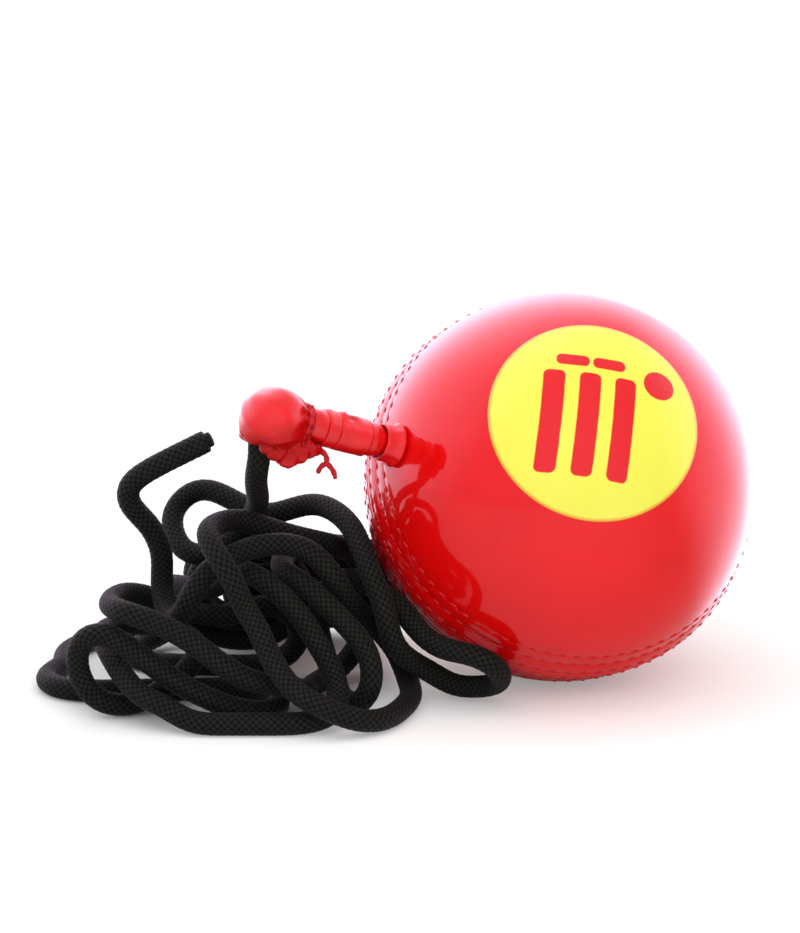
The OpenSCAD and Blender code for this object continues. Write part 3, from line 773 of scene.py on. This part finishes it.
# Stem: a leather sleeve with round ends, in two wraps, between the collar at the ball and the cap
stem = {
    "turn": -61.5, "rise": 18.0, "radius": 3.0, "ballBend": 41.0, "capBend": 53.6, "endRadius": 2.9, "bore": 2.0,
    "socket": 3.3, "lip": 1.2, "wrapStart": 1.8, "wrapEdge": 49.3, "ballWrap": 0.4, "capWrap": 0.36, "columns": 72,
    "sleeveWave": 0.05, "wrapWave": 0.035, "folds": 9, "foldDepth": 0.09,
    # Tucks in the wraps: station, angle, height, length and width; the place of the painted shade at the deep tuck:
    # station, angle, radius
    "ballTucks": [(48.4, 74, 0.45, 0.7, 1.2), (47.2, 62, -0.26, 0.7, 0.9), (45.9, 70, 0.18, 0.8, 1.0)],
    "capTucks": [(51.2, 80, 0.20, 0.4, 0.5)], "darkTuck": (47.2, 66.0, 3.4), "darkReach": (0.0004, 0.0014),
}
stemAxes = facing(stem["turn"], stem["rise"])
stemAngle = np.arange(stem["columns"]) * 2 * np.pi / stem["columns"]


# Painted shade: the colour is darkened within a short distance of the deep tuck
def paintedTuckShade(nodes):
    station, angle, radius = stem["darkTuck"]
    across, along, out = stemAxes
    angle = math.radians(angle)
    place = ballMiddle + station * out + radius * (math.cos(angle) * across + math.sin(angle) * along)
    away = nodes.vector("DISTANCE", nodes.place(), tuple(place * mm))
    return (1 - away.between(*stem["darkReach"])) * 0.9


# the ball wrap carries the painted shade of its deep tuck
wrapFinish = newStemFinish("satinRedWrap", paintedTuckShade)


# A slow uneven wave round and along the stem, the sum of a few sines
def rumple(station, angle, seed):
    return (0.5 * np.sin(3 * angle + 1.3 * station + seed) + 0.3 * np.sin(5 * angle - 2.1 * station + 2.3 * seed)
            + 0.2 * np.sin(8 * angle + 3.7 * station - 1.7 * seed))


# The sleeve is a pipe: an arc swept at each end, a straight wall between them, and its bore on the way back
def makeSleeve():
    ends, straight, inside = 8, 26, 8  # rings in each stretch
    tilt = np.radians(np.linspace(-46, 0, ends))
    end, first, last = stem["endRadius"], stem["ballBend"], stem["capBend"]
    radius = np.concatenate([end * np.cos(tilt), np.full(straight, stem["radius"]), end * np.cos(tilt[::-1]),
                             np.full(inside, stem["bore"])])
    station = np.concatenate([
        first + end * np.sin(tilt), np.linspace(first + 0.3, last - 0.3, straight),
        last - end * np.sin(tilt[::-1]), np.linspace(last + 2.0, first - 2.0, inside)])
    outside = np.concatenate([np.ones(2 * ends + straight), np.zeros(inside)])[:, None]
    wave = stem["sleeveWave"] * outside * rumple(station[:, None], stemAngle[None, :], 0.7)
    rings = turnedRings(radius[:, None] + wave, station, ballMiddle, stemAxes, stem["columns"])
    return newPiece("stemSleeve", skin(rings, closeRows=True), stemFinish, "stem", "stem_leather", "stem_sleeve")


# A wrap is a band round the sleeve whose end laps over its start, with softened edges
def makeWrap(name, first, last, thick, tucks, node):
    straight = 30  # rings between the edges
    inner = stem["radius"] - 0.12
    outer = stem["radius"] + thick
    edge = outer - 0.6 * thick * np.array([1.0, 0.3, 0.05])
    station = np.concatenate([
        first + np.array([0.05, 0.0, 0.06, 0.2]), np.linspace(first + 0.4, last - 0.4, straight),
        last - np.array([0.2, 0.06, 0.0, 0.05])])
    radius = np.concatenate([[inner], edge, np.full(straight, outer), edge[::-1], [inner]])
    wave = rumple(station[:, None], stemAngle[None, :], 2.4 + first)
    lap = np.mod(stemAngle - 0.5, 2 * np.pi) / (2 * np.pi)
    swell = thick * (0.30 * lap - 0.15)[None, :] + stem["wrapWave"] * wave
    for at, angle, high, length, width in tucks:
        gone = np.mod(stemAngle - np.radians(angle) + np.pi, 2 * np.pi) - np.pi
        along = np.exp(-((station - at) / length) ** 2)[:, None]
        swell = swell + high * along * np.exp(-(gone * outer / width) ** 2)[None, :]
    inside = (radius > inner)[:, None]
    rings = turnedRings(radius[:, None] + inside * swell, station, ballMiddle, stemAxes, stem["columns"])
    return newPiece(name, skin(rings, closeRows=True), wrapFinish, "stem", "stem_leather", node)


# The collar stands on the leather with a rolled, slightly scalloped rim, and cups the sleeve's round end
def makeCollar():
    top = stem["ballBend"] - stem["lip"]
    foot = ball["radius"] + 0.3
    cup = np.radians(np.linspace(68, 38, 8))
    cupRadius = stem["socket"] * np.sin(cup)
    cupStation = stem["ballBend"] - stem["socket"] * np.cos(cup)
    footRadius = np.array([2.0, 2.8, 3.5, 3.8])
    outerRadius = np.array([3.97, 4.0, 3.93, 3.72, 3.52, 3.42, 3.38, 3.38, 3.36])
    outerStation = foot + np.array([0.06, 0.28, 0.6, 0.86, 1.25, 1.8, 2.5, 3.1, 3.42])
    radius = np.concatenate([footRadius, outerRadius, [3.24], cupRadius, [2.0, 2.0]])
    station = np.concatenate([np.sqrt(foot ** 2 - footRadius ** 2), outerStation, [top], cupStation, [38.2, 37.0]])
    shows = np.concatenate([np.zeros(4), [0.5, 1, 1, 1, 0.8, 0.6, 0.5, 0.4, 0.2], np.zeros(11)])[:, None]
    fold = stem["foldDepth"] * shows * np.sin(stem["folds"] * stemAngle + 0.8 * np.sin(2 * stemAngle))[None, :]
    rings = turnedRings(radius[:, None] + fold, station, ballMiddle, stemAxes, stem["columns"])
    return newPiece("stemCollar", skin(rings, closeRows=True), stemFinish, "collar", "stem_leather", "stem_collar")


makeSleeve()
makeWrap("ballWrap", stem["ballBend"] + stem["wrapStart"], stem["wrapEdge"],
         stem["ballWrap"], stem["ballTucks"], "ball_wrap")
makeWrap("capWrap", stem["wrapEdge"], stem["capBend"] - stem["wrapStart"],
         stem["capWrap"], stem["capTucks"], "cap_wrap")
makeCollar()


# Cap: a leather dome drawn in at its neck, with an uneven gather below it
cap = {
    "domeStation": 61.5, "domeSizes": (6.2, 6.2, 5.7), "domeDrop": 0.75, "skirtDrop": 3.7, "squareness": 3.5,
    "faceStation": 54.8, "neckRadius": 3.5, "bindingStation": 55.7, "heart": (3.0, 0.2, 5.3),
    "heartSizes": (5.0, 3.2, 2.5), "voxel": 0.16, "stemRoom": 3.78,
    "drawnIn": 0.55, "pleats": 11, "pleatDepth": 0.17, "creases": 11, "creaseDepth": 0.13, "hemDepth": 0.20,
    "dimpleDepth": 0.10,
    # Where the painted shade falls, in metres: heights low on the dome, heights at the lip where it eases again, and
    # stations by the neck
    "lowShade": (0.0506, 0.0560), "lipShade": (0.0458, 0.0482), "neckShade": (0.0576, 0.0600),
}
# Lobes of the gather: how far from under the dome towards the ball, towards the viewer and down, and their radius
capLobes = [
    (1.7, 1.9, 7.4, 2.05), (-0.5, 2.3, 6.2, 1.7), (-2.0, 1.7, 5.2, 1.4), (3.9, 2.1, 6.9, 1.75), (5.7, 1.9, 6.5, 1.5),
    (7.3, 1.3, 6.5, 1.35), (8.5, -0.2, 6.5, 1.2), (7.0, -1.6, 6.3, 1.5), (4.8, -2.2, 6.5, 1.8), (2.3, -2.3, 6.9, 1.9),
    (0.0, -2.0, 6.2, 1.7), (2.8, 0.2, 7.7, 1.7),
]
domeMiddle = ballMiddle + cap["domeStation"] * stemAxes[2]


# A sphere or an ovoid: rings of latitude scaled along three axes
def ovoid(middle, sizes, axes, rows=18, columns=32):
    lat = np.radians(np.linspace(-90, 90, rows + 2)[1:-1])
    lon = np.arange(columns) * 2 * np.pi / columns
    local = np.stack([np.outer(np.cos(lat), np.cos(lon)) * sizes[0], np.outer(np.cos(lat), np.sin(lon)) * sizes[1],
                      np.repeat(np.sin(lat)[:, None] * sizes[2], columns, 1)], -1)
    turned = local @ np.array(axes)
    return skin(middle + turned, middle - sizes[2] * np.array(axes[2]), middle + sizes[2] * np.array(axes[2]))


# A half ball on top; below its middle the wall drops as a squared ellipse on the side away from the ball,
# which leaves a skirt with an edge there, and as a plain one on the side of the stem
def skirtedDome(middle, axes, rows=40, columns=72):
    lat = np.radians(np.linspace(-90, 90, rows + 2)[1:-1])[:, None]
    lon = (np.arange(columns) * 2 * np.pi / columns)[None, :]
    skirt = smoothStep((np.cos(lon) + 0.25) / 0.8)  # 1 away from the ball, 0 at the stem
    power = np.where(lat < 0, 2 + cap["squareness"] * skirt, 2.0)
    wide = np.cos(lat) ** (2 / power)
    high = np.sign(lat) * np.abs(np.sin(lat)) ** (2 / power)
    sizes = cap["domeSizes"]
    low = cap["skirtDrop"] + (sizes[2] - cap["skirtDrop"]) * (1 - skirt)
    local = np.stack([wide * np.cos(lon) * sizes[0], wide * np.sin(lon) * sizes[1],
                      high * np.where(lat < 0, low, sizes[2])], -1)
    return skin(middle + local @ np.array(axes), middle - cap["skirtDrop"] * axes[2], middle + sizes[2] * axes[2])


# Painted shade: low on the dome and by the neck the gathered leather is darkened as if in shadow, and on its lowest
# lip the painted shade eases, as if lit from the floor
def paintedUnderShade(nodes):
    uneven = (nodes.noise(420.0, 2.0) - 0.5) * 0.0022
    height = nodes.parts(nodes.place())[2] + uneven
    low = 1 - height.between(*cap["lowShade"])
    lip = 1 - height.between(*cap["lipShade"])
    fromBall = nodes.vector("SUBTRACT", nodes.place(), tuple(ballMiddle * mm))
    station = nodes.vector("DOT_PRODUCT", fromBall, tuple(stemAxes[2])) + uneven
    neck = (1 - station.between(*cap["neckShade"])) * 0.80
    return (low * 0.88).most(neck) - lip * 0.55


# Points nearer to a middle than a distance are moved straight out to it
def clearedOf(points, middle, distance, where=True):
    offset = points - middle
    away = np.linalg.norm(offset, axis=1)
    cleared = middle + offset * (distance / np.maximum(away, 0.2))[:, None]
    return np.where((where & (away < distance))[:, None], cleared, points)


# The dome, the neck and the lobes are joined by a fine remesh, then pleated towards the binding, creased below
# by products of sines, and cleared of the stem
def makeCap():
    across, along, out = stemAxes
    level = unit(np.array([out[0], out[1], 0.0]))
    beside = np.array([-level[1], level[0], 0.0])
    up = np.array([0.0, 0.0, 1.0])
    flatAxes = (level, beside, up)

    def below(towardsBall, towardsViewer, drop):
        return domeMiddle - towardsBall * level + towardsViewer * beside - drop * up

    dome = skirtedDome(below(0, 0, cap["domeDrop"]), flatAxes)
    neckStation = np.linspace(cap["faceStation"], cap["domeStation"], 12)
    neck = skin(turnedRings(np.full(12, cap["neckRadius"]), neckStation, ballMiddle, stemAxes, 48),
                ballMiddle + neckStation[0] * out, ballMiddle + neckStation[-1] * out)
    lobes = [ovoid(below(*lobe[:3]), (lobe[3] * 1.1, lobe[3] * 0.95, lobe[3]), flatAxes) for lobe in capLobes]
    middle = below(*cap["heart"])
    shape = joined([dome, neck, ovoid(middle, cap["heartSizes"], flatAxes)] + lobes)
    raw = bpy.data.objects.new("capRaw", newMesh("capRaw", shape))
    scene.collection.objects.link(raw)
    remesh = raw.modifiers.new("union", "REMESH")
    remesh.mode = "VOXEL"
    remesh.voxel_size = cap["voxel"] * mm
    remesh.use_smooth_shade = True
    soften = raw.modifiers.new("soften", "SMOOTH")
    soften.factor, soften.iterations = 0.5, 4
    mesh = bpy.data.meshes.new_from_object(raw.evaluated_get(bpy.context.evaluated_depsgraph_get()))
    bpy.data.objects.remove(raw)
    mesh.name = "leatherCap"
    count = len(mesh.vertices)
    co, normal = np.zeros(3 * count, np.float32), np.zeros(3 * count, np.float32)
    mesh.vertices.foreach_get("co", co)
    mesh.vertices.foreach_get("normal", normal)
    points, normal = co.reshape(-1, 3).astype(float) / mm, normal.reshape(-1, 3).astype(float)
    station = (points - ballMiddle) @ out
    flat = points - ballMiddle - station[:, None] * out
    reach = np.linalg.norm(flat, axis=1)
    angle = np.arctan2(flat @ along, flat @ across)
    turn = np.arctan2((points - middle) @ beside, (points - middle) @ level)
    drop = (domeMiddle - points) @ up
    x, y, z = points.T
    drawnIn = cap["drawnIn"] * np.exp(-((station - cap["bindingStation"]) / 0.6) ** 2) * (reach < 5.2)
    pleat = cap["pleatDepth"] * np.sin(cap["pleats"] * angle + 0.7 * np.sin(3 * angle))
    pleat = pleat * smoothStep((60.5 - station) / 4.5) * (station > 54.9)
    crease = np.sin(cap["creases"] * turn + 2.2 * np.sin(2 * turn) + 0.5 * drop) * np.sin(0.9 * drop + 2 * turn)
    crease = cap["creaseDepth"] * crease * smoothStep((drop - 3.2) / 1.6)
    hem = cap["hemDepth"] * np.exp(-((drop - 3.9 - 0.35 * np.sin(4 * turn)) / 0.35) ** 2) * (reach > 4.2)
    dimple = cap["dimpleDepth"] * np.sin(0.9 * x + 1.3 * z) * np.sin(1.1 * y - 0.7 * z)
    dimple = dimple * smoothStep((station - 55) / 2)
    points = points + normal * (pleat + crease + hem + dimple - drawnIn)[:, None]
    station = (points - ballMiddle) @ out
    points = clearedOf(points, ballMiddle + station[:, None] * out, cap["stemRoom"],
                       station < cap["faceStation"] - 0.02)
    points = clearedOf(points, ballMiddle + stem["capBend"] * out, stem["socket"])
    mesh.vertices.foreach_set("co", (points * mm).astype(np.float32).ravel())
    mesh.update()
    mesh.shade_smooth()
    # the cap's finish carries the painted shade under the gather and by the neck
    return newPiece("leatherCap", mesh, newStemFinish("satinRedCap", paintedUnderShade), "cord", "stem_leather", "cap")


# Binding: a thread round the neck, and its two loose ends below the lobes as a fork
binding = {
    "ringThread": 0.36, "ring": 3.13, "turns": 2.15, "climb": 0.42, "twist": 2.2, "thread": 0.46,
    "ending": [0.45, 0.42, 0.37, 0.28], "root": (-44.0, -24.6, 47.9), "top": (-42.2, -25, 48.0),
    "split": (-42.3, -25, 45.8),
    # Each loose end: where it stops, how it bows and how far above the root it starts
    "ends": [((-43.9, -25, 44.0), (-0.25, -0.1, 0.25), -0.18), ((-40.8, -25, 43.0), (0.3, -0.1, 0.1), 0.18)],
}


# A twisted thread: a tube whose section has two round plies that turn along it
def twistedTube(points, radius, twist, columns=16):
    stations = lineStations(points)
    angle = np.arange(columns) * 2 * np.pi / columns
    plies = 1 + 0.10 * np.cos(2 * (angle[None, :] - twist * stations[:, None]))
    return skin(tubeRings(points, np.reshape(radius, (-1, 1)) * plies, columns), points[0], points[-1],
                rowMap=stations / max(stations[-1], 1e-6))


# The ring is a helix round the neck; each loose end is a curve from the gather to the split, then a bowed line
def makeBinding():
    across, along, out = stemAxes
    turn = np.linspace(0, 2 * np.pi * binding["turns"], 150)
    spoke = np.cos(turn)[:, None] * across + np.sin(turn)[:, None] * along
    station = cap["bindingStation"] + binding["climb"] * (turn / turn[-1] - 0.5)
    ring = ballMiddle + station[:, None] * out + binding["ring"] * spoke
    shapes = [twistedTube(ring, binding["ringThread"], binding["twist"])]
    root, top, split = (np.array(binding[key], float) for key in ("root", "top", "split"))
    t = np.linspace(0, 1, 14)[:, None]
    for end, bow, lift in binding["ends"]:
        down = (1 - t) ** 2 * (root + (0.0, 0.0, lift)) + 2 * t * (1 - t) * top + t ** 2 * split
        apart = split + (np.array(end) - split) * t + np.sin(np.pi * t) * np.array(bow)
        line = np.vstack([down[:-1], apart])
        radius = np.concatenate([np.full(len(line) - len(binding["ending"]), binding["thread"]), binding["ending"]])
        shapes.append(twistedTube(line, radius, binding["twist"]))
    return newPiece("bindingTie", joined(shapes), bindingFinish, "cord", "binding", "binding_thread")


capPiece = makeCap()
bindingPiece = makeBinding()


# Hidden pieces keep their solids, in finishes of their own
def drawCork(nodes):
    grains = nodes.cells(420.0)
    specks = nodes.noise(900.0, 4.0, 0.65)
    dark = (grains * 0.6 + specks * 0.6).between(0.25, 0.8)
    return {"Base Color": nodes.mix(dark, colour(0.26, 0.13, 0.055), colour(0.56, 0.34, 0.17)),
            "Roughness": 0.82 + specks * 0.12, "Normal": nodes.bump(grains + specks, 0.4, 0.0006)}


def drawString(nodes):
    bands = nodes.node("ShaderNodeTexWave", {"bands_direction": "DIAGONAL"},
                       {"Vector": nodes.place(), "Scale": 260.0, "Distortion": 3.0, "Detail": 2.0})
    wool = nodes.noise(1500.0, 3.0, 0.6)
    return {"Base Color": nodes.mix(bands * 0.7 + wool * 0.3, colour(0.50, 0.40, 0.26), colour(0.78, 0.68, 0.50)),
            "Roughness": 0.85 + wool * 0.1, "Normal": nodes.bump(bands + wool * 0.4, 0.6, 0.0005)}


def drawHiddenCord(nodes):
    weave = nodes.cells(900.0)
    fuzz = nodes.noise(2600.0, 3.0, 0.6)
    return {"Base Color": nodes.mix(weave, colour(0.012, 0.012, 0.0125), colour(0.004, 0.004, 0.0045)),
            "Roughness": 0.55 + fuzz * 0.15, "Normal": nodes.bump(weave * 0.7 + fuzz * 0.3, 0.5, 0.0003)}


def drawWasher(nodes):
    scuff = nodes.noise(600.0, 4.0, 0.6)
    return {"Base Color": nodes.mix(scuff, colour(0.035, 0.035, 0.037), colour(0.075, 0.075, 0.078)),
            "Roughness": 0.45 + scuff * 0.2, "Normal": nodes.bump(scuff, 0.1, 0.0003)}


hiddenFinishes = {
    newFinish("corkGrain", drawCork): ("core_front", "core_rear"),
    newFinish("woundString", drawString): ("string_winding",),
    newFinish("hiddenBraid", drawHiddenCord): ("cord_in_ball", "anchor_knot", "cord_in_stem", "stopper_knot"),
    newFinish("washerPlastic", drawWasher): ("anchor_washer",),
}
for finish, names in hiddenFinishes.items():
    for name in names:
        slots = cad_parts[name].data.materials
        slots.clear()
        slots.append(finish)
print("hidden pieces finished")
